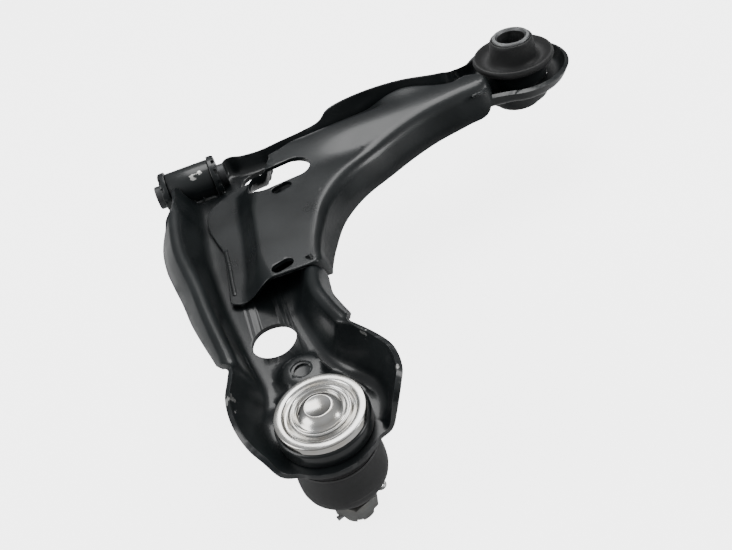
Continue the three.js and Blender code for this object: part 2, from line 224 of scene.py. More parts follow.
def wall_rows(station, roll=4.8, steepest=radians(52), hem_per_turn=7.0):
    """The points of the sheet's inside face across one wall, from the floor to the end of the hem."""
    fx, fy, rx, ry, rz, out, down = station
    base = tray_floor(fx, fy)
    lean = Vector((rx - fx, ry - fy))
    outward = lean.normalized()
    run = lean.length
    height = max(0.0, rz - base)
    slope = atan2(height, run)
    hem = hypot(out, down) * 1.05
    turn = min(slope + steepest, hem / hem_per_turn)
    rise = roll * (cos(max(0.0, slope - turn)) - cos(slope))
    shift = roll * (sin(slope) - sin(max(0.0, slope - turn)))
    top = (run - 0.6 * shift, base + height - rise)
    bend = min(5.0, 0.35 * height + 0.3)
    share = bend / max(height, bend)
    foot = [(-bend - 2.0, tray_floor(fx - outward.x * (bend + 2), fy - outward.y * (bend + 2)))]
    start, end = (-bend, base), (top[0] * share, base + (top[1] - base) * share)
    for step in range(6):
        t = step / 5
        offset = (1 - t) ** 2 * start[0] + t * t * end[0]
        foot.append((offset, (1 - t * t) * base + t * t * end[1]))
    for part in (0.4, 0.75, 1.0):
        foot.append((end[0] + (top[0] - end[0]) * part, end[1] + (top[1] - end[1]) * part))
    for step in range(1, 8):
        heading = slope - turn * step / 7
        foot.append((top[0] + roll * (sin(slope) - sin(heading)),
                     top[1] + roll * (cos(heading) - cos(slope))))
    rest = max(0.0, hem - roll * turn)
    for part in (0.5, 1.0):
        foot.append((foot[-1][0] + rest * 0.5 * cos(heading), foot[-1][1] + rest * 0.5 * sin(heading)))
    return [(fx + outward.x * offset, fy + outward.y * offset, z) for offset, z in foot]


def skirted_sheet(name, sections):
    """A sheet whose flat middle ends at the sections' first points and whose sides follow the rest."""
    start_clean()
    bpy.ops.mesh.primitive_circle_add(vertices=len(sections), radius=0.1, fill_type="NOTHING")
    sheet = named(name)
    for vertex, rows in zip(sheet.data.vertices, sections):
        vertex.co = at(*rows[0])
    for k in range(1, len(sections[0])):
        bpy.ops.object.mode_set(mode="EDIT")
        bpy.ops.mesh.select_mode(type="VERT")
        bpy.ops.mesh.extrude_region()
        bpy.ops.object.mode_set(mode="OBJECT")
        ring = [v for v in sheet.data.vertices if v.select]
        for vertex, rows in zip(ring, sections):
            vertex.co = at(*rows[k])
    bpy.ops.object.mode_set(mode="EDIT")
    bpy.ops.mesh.select_all(action="DESELECT")
    bpy.ops.object.mode_set(mode="OBJECT")
    for v in sheet.data.vertices[:len(sections)]:
        v.select = True
    bpy.ops.object.mode_set(mode="EDIT")
    bpy.ops.mesh.edge_face_add()
    bpy.ops.object.mode_set(mode="OBJECT")
    return sheet


def select_faces(piece, wanted):
    """Leaves exactly the faces that pass the test selected, in edit mode."""
    bpy.ops.object.mode_set(mode="OBJECT")
    for part in (piece.data.vertices, piece.data.edges, piece.data.polygons):
        part.foreach_set("select", [False] * len(part))
    for face in piece.data.polygons:
        face.select = wanted(face)
    bpy.ops.object.mode_set(mode="EDIT")
    bpy.ops.mesh.select_mode(type="FACE")


def cut_grid(piece, wanted, x_cuts, y_cuts):
    """Cuts the wanted faces along straight lines, so that their height can follow a pressed shape."""
    for value in x_cuts:
        select_faces(piece, wanted)
        bpy.ops.mesh.bisect(plane_co=at(value, 0, 0), plane_no=(1, 0, 0))
    for value in y_cuts:
        select_faces(piece, wanted)
        bpy.ops.mesh.bisect(plane_co=at(0, value, 0), plane_no=(0, 1, 0))
    bpy.ops.object.mode_set(mode="OBJECT")


def steps_from(low, high, step):
    count = int((high - low) / step)
    return [low + step * i for i in range(count + 1)]

def thickened(sheet, sections, height, x_cuts, y_cuts, thickness):
    """Shapes the flat middle by its height function and gives the sheet its thickness."""
    edge_vertices = len(sheet.data.vertices)
    edge_faces = len(sections) * (len(sections[0]) - 1)
    cut_grid(sheet, lambda face: face.index >= edge_faces, x_cuts, y_cuts)
    for v in sheet.data.vertices[edge_vertices:]:
        place = (v.co - home) / MM
        v.co.z = at(0, 0, height(place.x, place.y)).z
    bpy.ops.object.mode_set(mode="EDIT")
    bpy.ops.mesh.select_all(action="SELECT")
    bpy.ops.mesh.remove_doubles(threshold=0.000002)
    bpy.ops.mesh.normals_make_consistent(inside=False)
    bpy.ops.object.mode_set(mode="OBJECT")
    if sum(face.normal.z * face.area for face in sheet.data.polygons) < 0:
        bpy.ops.object.mode_set(mode="EDIT")
        bpy.ops.mesh.flip_normals()
        bpy.ops.object.mode_set(mode="OBJECT")
    finish_with(sheet, "SOLIDIFY", thickness=thickness * MM, offset=-1, use_even_offset=False)


sections = [wall_rows(station) for station in through(tray_line, 5)]
tray = skirted_sheet("lower_arm_pressing", sections)
thickened(
    tray, sections, tray_floor,
    x_cuts=steps_from(-4, 76, 2.4), y_cuts=steps_from(-278, -188, 2.4), thickness=3,
)

# The hole in the floor, the opening below the cover's slot, the seats of the housing and the rear bush,
# and the stepped dimple beside the ball joint.
cut_away(tray, bar(21.5, -171.5, -40, 0, 12.6))
cut_away(tray, bar(56, -16.5, -40, 0, 14.2, 51, 0.12))
cut_away(tray, bar(joint_x, joint_y, -40, 10, 19.6))
cut_away(tray, bar(rear_x, rear_y, -40, 10, 22.3))
cut_away(tray, bar(31, -204, -13.6, 0, 5.8))
cut_away(tray, bar(31, -204, -14.8, 0, 4.4))
finish_with(tray, "BEVEL", width=0.0005, segments=2, limit_method="ANGLE", angle_limit=radians(50))
settle(tray, 40)


def group_of(name, values, results):
    """Empty shader node group with float inputs given as (name, value), and its named outputs."""
    group = bpy.data.node_groups.new(name, "ShaderNodeTree")
    for label, value in values:
        socket = group.interface.new_socket(label, in_out="INPUT", socket_type="NodeSocketFloat")
        socket.default_value = value
    for label, kind in results:
        group.interface.new_socket(label, in_out="OUTPUT", socket_type=kind)
    return group, group.nodes.new("NodeGroupInput"), group.nodes.new("NodeGroupOutput")


def noise(group, links, place, scale, detail=4.0, stretch=(1, 1, 1)):
    node = group.nodes.new("ShaderNodeTexNoise")
    node.inputs["Detail"].default_value = detail
    if isinstance(scale, float):
        node.inputs["Scale"].default_value = scale
    else:
        links.new(scale, node.inputs["Scale"])
    mapping = group.nodes.new("ShaderNodeMapping")
    mapping.inputs["Scale"].default_value = stretch
    links.new(place.outputs["Object"], mapping.inputs["Vector"])
    links.new(mapping.outputs["Vector"], node.inputs["Vector"])
    return node.outputs["Fac"]


def ranged(group, value, low, high, to_low=0.0, to_high=1.0):
    node = group.nodes.new("ShaderNodeMapRange")
    for label, number in (("From Min", low), ("From Max", high), ("To Min", to_low), ("To Max", to_high)):
        if isinstance(number, (int, float)):
            node.inputs[label].default_value = number
        else:
            group.links.new(number, node.inputs[label])
    group.links.new(value, node.inputs["Value"])
    return node.outputs["Result"]


# Cloudy change over the surface, as a colour factor and as a roughness between two values.
clouds, clouds_in, clouds_out = group_of(
    "clouds", [("Scale", 26), ("Rough low", 0.25), ("Rough high", 0.4)],
    [("Cloud", "NodeSocketFloat"), ("Roughness", "NodeSocketFloat")])
clouds_place = clouds.nodes.new("ShaderNodeTexCoord")
cloud = noise(clouds, clouds.links, clouds_place, clouds_in.outputs["Scale"], 6.0)
clouds.links.new(ranged(clouds, cloud, 0.3, 0.7), clouds_out.inputs["Cloud"])
clouds.links.new(
    ranged(clouds, cloud, 0.3, 0.7, clouds_in.outputs["Rough low"], clouds_in.outputs["Rough high"]),
    clouds_out.inputs["Roughness"])

# Fine relief: paint peel, moulded grain or cast skin, as a normal.
relief, relief_in, relief_out = group_of(
    "relief", [("Scale", 420), ("Strength", 0.05), ("Depth", 0.0004)], [("Normal", "NodeSocketVector")])
relief_place = relief.nodes.new("ShaderNodeTexCoord")
relief_bump = relief.nodes.new("ShaderNodeBump")
grain = noise(relief, relief.links, relief_place, relief_in.outputs["Scale"], 3.0)
relief.links.new(grain, relief_bump.inputs["Height"])
relief.links.new(relief_in.outputs["Strength"], relief_bump.inputs["Strength"])
relief.links.new(relief_in.outputs["Depth"], relief_bump.inputs["Distance"])
relief.links.new(relief_bump.outputs["Normal"], relief_out.inputs["Normal"])

# Worn edges: a mask that is high where the surface turns sharply, broken up by noise.
edges, edges_in, edges_out = group_of(
    "worn_edges", [("Width", 0.0006), ("Start", 0.01), ("Breakup", 160)], [("Worn", "NodeSocketFloat")])
edges_place = edges.nodes.new("ShaderNodeTexCoord")
edges_shape = edges.nodes.new("ShaderNodeNewGeometry")
edges_round = edges.nodes.new("ShaderNodeBevel")
edges_round.samples = 4
edges.links.new(edges_in.outputs["Width"], edges_round.inputs["Radius"])
edges_turn = edges.nodes.new("ShaderNodeVectorMath")
edges_turn.operation = "DISTANCE"
edges.links.new(edges_round.outputs["Normal"], edges_turn.inputs[0])
edges.links.new(edges_shape.outputs["Normal"], edges_turn.inputs[1])
edge = ranged(edges, edges_turn.outputs["Value"], edges_in.outputs["Start"], 0.35)
chips = noise(edges, edges.links, edges_place, edges_in.outputs["Breakup"], 5.0)
broken = ranged(edges, chips, 0.46, 0.6)
both = edges.nodes.new("ShaderNodeMath")
both.operation = "MULTIPLY"
edges.links.new(edge, both.inputs[0])
edges.links.new(broken, both.inputs[1])
edges.links.new(both.outputs["Value"], edges_out.inputs["Worn"])

# One bright spot: a mask round a place, with a scratched outline. It marks steel rubbed bare, and on the
# front bush tube it is painted highlight.
spot, spot_in, spot_out = group_of(
    "rub_and_highlight_spot", [("X", 0), ("Y", 0), ("Z", 0), ("Radius", 0.01)], [("Bare and highlight", "NodeSocketFloat")])
spot_place = spot.nodes.new("ShaderNodeTexCoord")
spot_centre = spot.nodes.new("ShaderNodeCombineXYZ")
for axis in "XYZ":
    spot.links.new(spot_in.outputs[axis], spot_centre.inputs[axis])
spot_away = spot.nodes.new("ShaderNodeVectorMath")
spot_away.operation = "DISTANCE"
spot.links.new(spot_place.outputs["Object"], spot_away.inputs[0])
spot.links.new(spot_centre.outputs["Vector"], spot_away.inputs[1])
spot_near = spot.nodes.new("ShaderNodeMath")
spot_near.operation = "DIVIDE"
spot.links.new(spot_away.outputs["Value"], spot_near.inputs[0])
spot.links.new(spot_in.outputs["Radius"], spot_near.inputs[1])
near = ranged(spot, spot_near.outputs["Value"], 1.0, 0.35, 0.0, 0.33)
scratch = noise(spot, spot.links, spot_place, 190.0, 5.0, (1, 1, 2.2))
spot_sum = spot.nodes.new("ShaderNodeMath")
spot.links.new(near, spot_sum.inputs[0])
spot.links.new(scratch, spot_sum.inputs[1])
spot.links.new(ranged(spot, spot_sum.outputs["Value"], 0.8, 0.86), spot_out.inputs["Bare and highlight"])


def effect(material, group, **values):
    node = material.node_tree.nodes.new("ShaderNodeGroup")
    node.node_tree = group
    for label, value in values.items():
        node.inputs[label.replace("_", " ")].default_value = value
    return node


def mixed(material, factor, low, high):
    """Colour between two, either of which may be a plain colour or another node's output."""
    mix = material.node_tree.nodes.new("ShaderNodeMix")
    mix.data_type = "RGBA"
    material.node_tree.links.new(factor, mix.inputs["Factor"])
    for label, colour in (("A", low), ("B", high)):
        if isinstance(colour, tuple):
            mix.inputs[label].default_value = (*colour, 1)
        else:
            material.node_tree.links.new(colour, mix.inputs[label])
    return mix.outputs["Result"]


def surface(name, low, high, rough, cloud_scale, grain_scale, strength, depth, metallic=0.0):
    """Material with clouded colour and roughness and a fine relief, with its shader and its colour."""
    material = bpy.data.materials.new(name)
    material.use_nodes = True
    links = material.node_tree.links
    shader = material.node_tree.nodes["Principled BSDF"]
    shader.inputs["Metallic"].default_value = metallic
    cloudy = effect(material, clouds, Scale=cloud_scale, Rough_low=rough[0], Rough_high=rough[1])
    fine = effect(material, relief, Scale=grain_scale, Strength=strength, Depth=depth)
    colour = mixed(material, cloudy.outputs["Cloud"], low, high)
    links.new(colour, shader.inputs["Base Color"])
    links.new(cloudy.outputs["Roughness"], shader.inputs["Roughness"])
    links.new(fine.outputs["Normal"], shader.inputs["Normal"])
    return material, shader, colour


def black_coat(name, spots=()):
    """Black electro-coat: thin gloss with a faint peel, grey on worn edges, and bright bare steel at the
    spots, which are rubbed places on the tray and cover and painted highlight on the front bush tube.
    """
    material, shader, colour = surface(
        name, (0.005, 0.0065, 0.007), (0.0115, 0.0145, 0.0155), (0.26, 0.4), 26, 420, 0.05, 0.0004)
    links = material.node_tree.links
    thin = effect(material, edges, Width=0.0006, Start=0.06, Breakup=140)
    colour = mixed(material, thin.outputs["Worn"], colour, (0.055, 0.058, 0.06))
    bare_and_highlight = None
    for x, y, z, radius in spots:
        place = at(x, y, z)
        rub_and_highlight = effect(material, spot, X=place.x, Y=place.y, Z=place.z, Radius=radius * MM)
        if bare_and_highlight is None:
            bare_and_highlight = rub_and_highlight.outputs["Bare and highlight"]
        else:
            most = material.node_tree.nodes.new("ShaderNodeMath")
            most.operation = "MAXIMUM"
            links.new(bare_and_highlight, most.inputs[0])
            links.new(rub_and_highlight.outputs["Bare and highlight"], most.inputs[1])
            bare_and_highlight = most.outputs["Value"]
    # Bright bare steel at the spots: real rubbing, and painted highlight where a spot stands for a glint.
    if bare_and_highlight is not None:
        colour = mixed(material, bare_and_highlight, colour, (0.62, 0.62, 0.6))
        links.new(bare_and_highlight, shader.inputs["Metallic"])
    links.new(colour, shader.inputs["Base Color"])
    shader.inputs["Specular IOR Level"].default_value = 0.4
    shader.inputs["Coat Weight"].default_value = 0.22
    shader.inputs["Coat Roughness"].default_value = 0.14
    return material


def belongs(piece, body, slot, *nodes):
    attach(piece, body)
    if nodes:
        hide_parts(*nodes)


tray.data.materials.append(black_coat(
    "tray_coat", [(-5, -224, 5, 6.5), (66, -216, 7, 5.5), (73, -246, 8, 3.6), (-2, -231, 4, 4)]))
belongs(tray, "arm", "black_coat", "lower_pressing")


# Upper pressing: a cover of 2.6 mm steel sheet, welded into the tray. Its front part lies on the tray's
# floor as a flange, a step lifts the rest towards the top of the walls, and its outer side is folded
# down outside the tray's own wall. It has the same black electro-coat.
def cover_height(x, y, flange_z=-14.1, step_rise=14.6, groove_depth=3.4):
    """Height of the cover's top face: flange, step, crest, bump, fall to the far side, valley, groove."""
    step_x = 22 + 0.11 * max(0.0, y + 128) + 0.06 * max(0.0, y + 67)
    soft = 7 + 4 * smoothstep(-112, -140, y) + 3 * smoothstep(-76, -52, y)
    beside = x - step_x
    behind = (-31 + 60 * smoothstep(46, 72, x)) - y
    high = smoothstep(-soft, soft, beside) * smoothstep(-6, 5, behind)
    crest = 2.6 * exp(-((y + 20 + 0.02 * (x - 150)) / 15) ** 2) * smoothstep(60, 120, x)
    bump = 2.5 * exp(-((x - 160) / 14) ** 2 - ((y - 2) / 9) ** 2)
    far = (-6.5 * smoothstep(-14, 6, y - 0.06 * (x - 90)) * smoothstep(66, 84, x)
           * (1 - smoothstep(128, 150, x)))
    valley = -1.6 * exp(-((x - 100 + 0.2 * y) / 30) ** 2 - ((y + 48) / 12) ** 2)
    groove_x = 27.5 + 0.12 * (y + 90)
    groove = exp(-((x - groove_x) / 2.4) ** 2) * smoothstep(-120, -102, y) * (1 - smoothstep(-78, -64, y))
    return flange_z + high * (step_rise + crest + bump + far + valley) - groove_depth * groove * high


# Points of the cover's upper edge (x, y), and how far the fold goes out and down from there.
cover_line = [
    (5, -129, 0.4, 0.6), (5.2, -133, 0.4, 0.6), (9, -136, 0.4, 0.6), (14, -137, 0.4, 0.6),
    (20, -138.6, 0.4, 0.6), (27, -140.4, 0.4, 0.6), (36, -141, 0.4, 0.6), (46, -141.4, 0.4, 0.6),
    (54.5, -141.6, 0.5, 0.8), (59.6, -141.2, 1.2, 6), (62.4, -138, 2.4, 16), (64, -128, 3.4, 19),
    (68.5, -112, 5.2, 19.5), (79.5, -87, 7.5, 20), (98, -66, 9.6, 20), (124, -50, 9.8, 20),
    (158, -36.5, 9.8, 20), (188, -30.8, 9.6, 19.5), (203, -29.5, 9, 18), (209.5, -26.5, 4, 8),
    (211.5, -20, 1.5, 3), (208.5, -13, 1, 2), (201, -9, 2, 3), (191, -11, 3, 6), (182, -6, 3, 7),
    (172, 0, 3, 7), (158, 3.4, 2.6, 6), (143, 3, 2, 4), (124, 3, 1, 2), (98, -1.5, 1, 2),
    (78, -8, 1, 2), (64, -14, 1, 2), (48, -18, 0.6, 1), (34, -19, 0.4, 0.6), (20, -24, 0.4, 0.6),
    (9, -32, 0.4, 0.6), (4, -42, 0.4, 0.6), (3.6, -56, 0.4, 0.6), (6, -70, 0.4, 0.6),
    (8.2, -82, 0.4, 0.6), (7.6, -98, 0.4, 0.6), (6.4, -114, 0.4, 0.6),
]


def cover_rows(before, here, after):
    """The points of the cover's top face across its edge, over the bend and down the fold."""
    x, y, out, down = here
    run = Vector((after[0] - before[0], after[1] - before[1])).normalized()
    outward = Vector((run.y, -run.x))
    bend = min(6.0, down * 0.45)
    inner = 1.2 + bend
    inner_x, inner_y = x - outward.x * inner, y - outward.y * inner
    rows = [(inner_x, inner_y, cover_height(inner_x, inner_y))]
    top = cover_height(x, y)
    start = (-bend, cover_height(x - outward.x * bend, y - outward.y * bend))
    corner = (0.0, top)
    share = bend / max(down, 0.01)
    end = (out * share, top - down * share)
    for step in range(7):
        t = step / 6
        offset, z = (
            (1 - t) ** 2 * a + 2 * t * (1 - t) * b + t * t * c for a, b, c in zip(start, corner, end))
        rows.append((x + outward.x * offset, y + outward.y * offset, z))
    for part in (0.5, 1.0):
        along = share + (1 - share) * part
        offset = out * along
        rows.append((x + outward.x * offset, y + outward.y * offset, top - down * along))
    return rows


cover_edge = through(cover_line, 6)
cover_sections = [
    cover_rows(cover_edge[i - 1], cover_edge[i], cover_edge[(i + 1) % len(cover_edge)])
    for i in range(len(cover_edge))
]
cover = skirted_sheet("upper_arm_pressing", cover_sections)
thickened(
    cover, cover_sections, cover_height,
    x_cuts=[*steps_from(5, 47, 1.2), *steps_from(48, 210, 2.6)], y_cuts=steps_from(-140, 2, 2.4),
    thickness=2.6,
)

# The large slot and the two small ones in its top.
cut_away(cover, bar(57, -43, -30, 20, 11, 44, 0.12))
cut_away(cover, bar(56, -59.5, -30, 20, 3.9, 14, 0.3))
cut_away(cover, bar(40, -135, -30, 20, 3.9, 14, 0.3))
finish_with(cover, "BEVEL", width=0.0005, segments=2, limit_method="ANGLE", angle_limit=radians(50))
settle(cover, 40)
cover.data.materials.append(black_coat("cover_coat", [(206, -34, 0, 3), (56, -92, 0.5, 1.4)]))
belongs(cover, "arm", "black_coat", "upper_pressing")


# Weld seams: beads of molten filler along the cover's ends and where the front bush tube lies on the tray,
# laid down in short overlapping ripples and coated black with the rest.
def weld(name, points, radius, sides=14, spacing=1.1):
    """A bead along the points, wider than it is high, whose ripples come from its changing size."""
    line = []
    for (ax, ay, az), (bx, by, bz) in zip(points, points[1:]):
        count = max(2, int(hypot(bx - ax, by - ay) / spacing))
        line += [(ax + (bx - ax) * i / count, ay + (by - ay) * i / count, az + (bz - az) * i / count)
                 for i in range(count)]
    line.append(points[-1])
    start_clean()
    bpy.ops.mesh.primitive_circle_add(vertices=sides, radius=0.1, fill_type="NGON")
    bead = named(name)
    for k, place in enumerate(line):
        ahead = Vector(line[min(k + 1, len(line) - 1)]) - Vector(line[max(k - 1, 0)])
        across = ahead.normalized().cross(Vector((0, 0, 1))).normalized()
        over = across.cross(ahead.normalized())
        size = radius * (0.45 if k in (0, len(line) - 1) else 1 + 0.13 * sin(k * 2.6))
        if k:
            bpy.ops.object.mode_set(mode="EDIT")
            bpy.ops.mesh.extrude_region()
            bpy.ops.object.mode_set(mode="OBJECT")
        picked = [v for v in bead.data.vertices if v.select]
        for i, v in enumerate(picked):
            a = 2 * pi * i / sides
            v.co = at(*(Vector(place) + (across * cos(a) + over * sin(a) * 0.7) * size))
    bpy.ops.object.mode_set(mode="EDIT")
    bpy.ops.mesh.select_all(action="SELECT")
    bpy.ops.mesh.normals_make_consistent(inside=False)
    bpy.ops.object.mode_set(mode="OBJECT")
    settle(bead, 60)
    bead.data.materials.append(black_coat(name + "_coat"))
    belongs(bead, "arm", "black_coat")


weld("weld_cover_front", [(8, -128, -14.6), (8.5, -115, -14.6), (9.5, -98, -14.6), (9.8, -82, -14.6)], 1.6)
weld("weld_cover_end", [(196, -36, 0.3), (204, -34.4, -0.2), (209, -30, -1.2)], 1.7)
weld("weld_bush_near", [(-4, -14, -17.2), (1, -14, -17.6), (8, -14, -17.6), (14, -14, -17.6)], 2.3)


# Front bush: a steel tube that is welded to the arm, with rubber moulded between it and the inner sleeve,
# and a toothed steel ring at each end. The hinge bolt passes through the sleeve along X.
def spun(name, profile, axis="Z", centre=(0, 0, 0), steps_round=128, bevel=0.0):
    """A turned part: its section, a closed loop of (radius, height), is spun round the part's axis."""
    start_clean()
    bpy.ops.mesh.primitive_circle_add(vertices=len(profile), radius=0.1, fill_type="NOTHING")
    piece = named(name)
    for v, (r, h) in zip(piece.data.vertices, profile):
        v.co = at(*centre) + (Vector((r, 0, h)) if axis == "Z" else Vector((h, 0, r))) * MM
    bpy.ops.object.mode_set(mode="EDIT")
    bpy.ops.mesh.select_all(action="SELECT")
    bpy.ops.mesh.spin(
        steps=steps_round, angle=2 * pi, center=at(*centre),
        axis=(0, 0, 1) if axis == "Z" else (1, 0, 0))
    bpy.ops.mesh.select_all(action="SELECT")
    bpy.ops.mesh.remove_doubles(threshold=0.000004)
    bpy.ops.mesh.dissolve_degenerate(threshold=0.000004)
    bpy.ops.mesh.normals_make_consistent(inside=False)
    bpy.ops.object.mode_set(mode="OBJECT")
    if bevel:
        finish_with(
            piece, "BEVEL", width=bevel * MM, segments=2, limit_method="ANGLE", angle_limit=radians(32))
    settle(piece, 38)
    return piece


# Its tube is coated black with the arm, and its two bright bare-steel spots are painted highlight where the
# tube catches the light.
bush = (0, 0, bush_z)
bush_tube = spun("front_bush_shell", [(11.8, -15), (14, -15), (14, 15), (11.8, 15)], "X", bush, 96, 0.5)
bush_tube.data.materials.append(black_coat("bush_coat", [(4, -8, -1, 6), (9, -7, -0.5, 4)]))
belongs(bush_tube, "arm", "black_coat", "front_bush_tube")

# Its end rings are black steel, pressed on, with twelve notches cut in the outer corner.
ring_r, ring_end, notches = 15.6, 20, 12
for side, name, node in (
    (-1, "front_end_ring", "front_bush_front_ring"),
    (1, "rear_end_ring", "front_bush_rear_ring"),
):
    section = [(8.35, 15.35), (ring_r, 15.35), (ring_r, 18.4), (14.9, ring_end), (9.4, ring_end), (8.35, 19)]
    end_ring = spun(name, [(r, side * h) for r, h in section], "X", bush, 96)
    start_clean()
    for notch in range(notches):
        angle = 2 * pi * (notch + 0.5) / notches
        bpy.ops.mesh.primitive_cube_add(
            size=1, location=at(side * ring_end, ring_r * -sin(angle), bush_z + ring_r * cos(angle)),
            rotation=(angle, 0, 0), scale=(0.004, 0.0032, 0.0044))
    for cutter in [o for o in bpy.context.scene.objects if o.name.startswith("Cube")]:
        cutter.select_set(True)
    bpy.ops.object.join()
    cut_away(end_ring, bpy.context.object)
    finish_with(end_ring, "BEVEL", width=0.0003, segments=2, limit_method="ANGLE", angle_limit=radians(40))
    settle(end_ring, 38)
    end_ring.data.materials.append(black_coat(name + "_coat"))
    belongs(end_ring, "arm", "black_coat", node)


# Its rubber ring is moulded black rubber, bonded to the tube and the sleeve, with a groove at each end.
def moulded_rubber(
        name, low=(0.0085, 0.0088, 0.009), high=(0.02, 0.0205, 0.021), dust=(0.05, 0.049, 0.047)):
    """Black moulded rubber: dull, with a fine grain, a soft bloom and dust on its edges."""
    material, shader, colour = surface(name, low, high, (0.5, 0.68), 34, 900, 0.12, 0.0003)
    bloom = effect(material, edges, Width=0.0008, Start=0.04, Breakup=60)
    colour = mixed(material, bloom.outputs["Worn"], colour, dust)
    material.node_tree.links.new(colour, shader.inputs["Base Color"])
    shader.inputs["Specular IOR Level"].default_value = 0.42
    shader.inputs["Sheen Weight"].default_value = 0.06
    return material


bush_rubber = spun(
    "front_bush_rubber_ring", [(8.35, -13.4), (9.4, -14.3), (10.6, -13.7), (11.45, -14.3), (11.45, 14.3),
                               (10.6, 13.7), (9.4, 14.3), (8.35, 13.4)], "X", bush, 96)
bush_rubber.data.materials.append(moulded_rubber("bush_rubber"))
belongs(bush_rubber, "arm", "rubber", "front_bush_rubber")


# Its inner sleeve is turned steel, coloured very dark as painted shade for the shadow inside the bush, and
# turns in the arm with the bolt it is clamped by.
# Tool marks round an axis, as a normal and a streak value: turned and ground metal shows them.
turning, turning_in, turning_out = group_of(
    "turning_marks", [("X", 0), ("Y", 0), ("Scale", 900), ("Strength", 0.1)],
    [("Streak", "NodeSocketFloat"), ("Normal", "NodeSocketVector")])
turning_place = turning.nodes.new("ShaderNodeTexCoord")
turning_axis = turning.nodes.new("ShaderNodeCombineXYZ")
turning_flat = turning.nodes.new("ShaderNodeVectorMath")
turning_flat.operation = "MULTIPLY"
turning_flat.inputs[1].default_value = (1, 1, 0)
turning_away = turning.nodes.new("ShaderNodeVectorMath")
turning_away.operation = "DISTANCE"
turning_spread = turning.nodes.new("ShaderNodeCombineXYZ")
turning_split = turning.nodes.new("ShaderNodeSeparateXYZ")
turning_noise = turning.nodes.new("ShaderNodeTexNoise")
turning_noise.inputs["Detail"].default_value = 3
turning_bump = turning.nodes.new("ShaderNodeBump")
turning_bump.inputs["Distance"].default_value = 0.0001
for from_socket, to_socket in (
    (turning_in.outputs["X"], turning_axis.inputs["X"]),
    (turning_in.outputs["Y"], turning_axis.inputs["Y"]),
    (turning_place.outputs["Object"], turning_flat.inputs[0]),
    (turning_place.outputs["Object"], turning_split.inputs[0]),
    (turning_flat.outputs["Vector"], turning_away.inputs[0]),
    (turning_axis.outputs["Vector"], turning_away.inputs[1]),
    (turning_away.outputs["Value"], turning_spread.inputs["X"]),
    (turning_split.outputs["Z"], turning_spread.inputs["Y"]),
    (turning_spread.outputs["Vector"], turning_noise.inputs["Vector"]),
    (turning_in.outputs["Scale"], turning_noise.inputs["Scale"]),
    (turning_noise.outputs["Fac"], turning_bump.inputs["Height"]),
    (turning_in.outputs["Strength"], turning_bump.inputs["Strength"]),
    (turning_noise.outputs["Fac"], turning_out.inputs["Streak"]),
    (turning_bump.outputs["Normal"], turning_out.inputs["Normal"]),
):
    turning.links.new(from_socket, to_socket)


def turned_metal(name, low, high, rough, x, y, marks=900, strength=0.12, stain=None):
    """Machined or plated steel, with tool marks round its axis, clouded colour and optional stains."""
    material, shader, colour = surface(name, low, high, rough, 70, 1200, 0.05, 0.0002, 1.0)
    place = at(x, y, 0)
    lathe = effect(material, turning, X=place.x, Y=place.y, Scale=marks, Strength=strength)
    if stain:
        tint = effect(material, clouds, Scale=150, Rough_low=0.0, Rough_high=0.55)
        colour = mixed(material, tint.outputs["Roughness"], colour, stain)
    streaked = mixed(material, lathe.outputs["Streak"], colour, high)
    material.node_tree.links.new(streaked, shader.inputs["Base Color"])
    material.node_tree.links.new(lathe.outputs["Normal"], shader.inputs["Normal"])
    return material


bush_sleeve = spun("front_hinge_sleeve", [
    (6.1, -24.5), (6.6, -25), (7.5, -25), (8, -24.5), (8, 24.5), (7.5, 25), (6.6, 25), (6.1, 24.5)],
    "X", bush, 96)
# Its very dark colour is painted shade, which matches the shadow inside the bush.
bush_sleeve.data.materials.append(
    turned_metal("dark_sleeve_steel", (0.05, 0.052, 0.054), (0.1, 0.102, 0.104), (0.42, 0.58), 0, 0))
belongs(bush_sleeve, "front_sleeve", "sleeve_steel", "front_bush_sleeve")


# Rear bush: an upright steel shell pressed into the arm's eye, a thick rubber with a dished flange that
# lies over the eye, and an inner sleeve for the upright bolt. The rubber is moulded on both.
eye = (rear_x, rear_y, 0)
eye_shell = spun("rear_eye_shell", [(20.2, -31), (22, -31), (22, -6.4), (20.2, -6.4)], "Z", eye, 128, 0.4)
eye_shell.data.materials.append(black_coat("eye_coat"))
belongs(eye_shell, "arm", "black_coat", "rear_bush_shell")

# Its rubber is drawn as a flange above and a tail below.
flange = spun("rear_rubber_flange", [
    (13.75, -18), (19.85, -18), (19.85, -6.2), (22.6, -6.1), (25.6, -5.5), (27.5, -4.2), (28.3, -2.5),
    (28.2, -0.9), (27.5, 0.1), (26.5, 0.2), (25.5, -0.5), (23.8, -2.2), (21.2, -3.6), (18.9, -3.8),
    (17.3, -2.8), (16.5, -0.8), (16, 2.4), (15.6, 6), (15.3, 9.6), (15, 11.2), (14.5, 12),
    (13.75, 12.2)], "Z", eye)
flange.data.materials.append(moulded_rubber("flange_rubber"))
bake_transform(flange)
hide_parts("rear_bush_rubber")

tail = spun("rear_rubber_tail", [
    (13.75, -37), (15.2, -37), (16, -36.4), (16.4, -35), (17, -33), (18.2, -31.9), (19.85, -31), (19.85, -18),
    (13.75, -18)], "Z", eye)
tail.data.materials.append(moulded_rubber("tail_rubber"))
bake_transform(tail)

# Its sleeve is turned satin steel, bonded in the rubber, and stands above the flange to meet its bracket.
eye_sleeve = spun("rear_hinge_sleeve", [
    (9.6, -37.2), (10.4, -38), (12.8, -38), (13.4, -37.4), (13.4, 13), (12.8, 13.6), (10.8, 13.6),
    (9.6, 12.4)], "Z", eye)
eye_sleeve.data.materials.append(turned_metal(
    "sleeve_satin", (0.13, 0.135, 0.14), (0.24, 0.245, 0.245), (0.34, 0.5), rear_x, rear_y, 700, 0.2))
belongs(eye_sleeve, "rear_sleeve", "sleeve_steel", "rear_bush_sleeve")


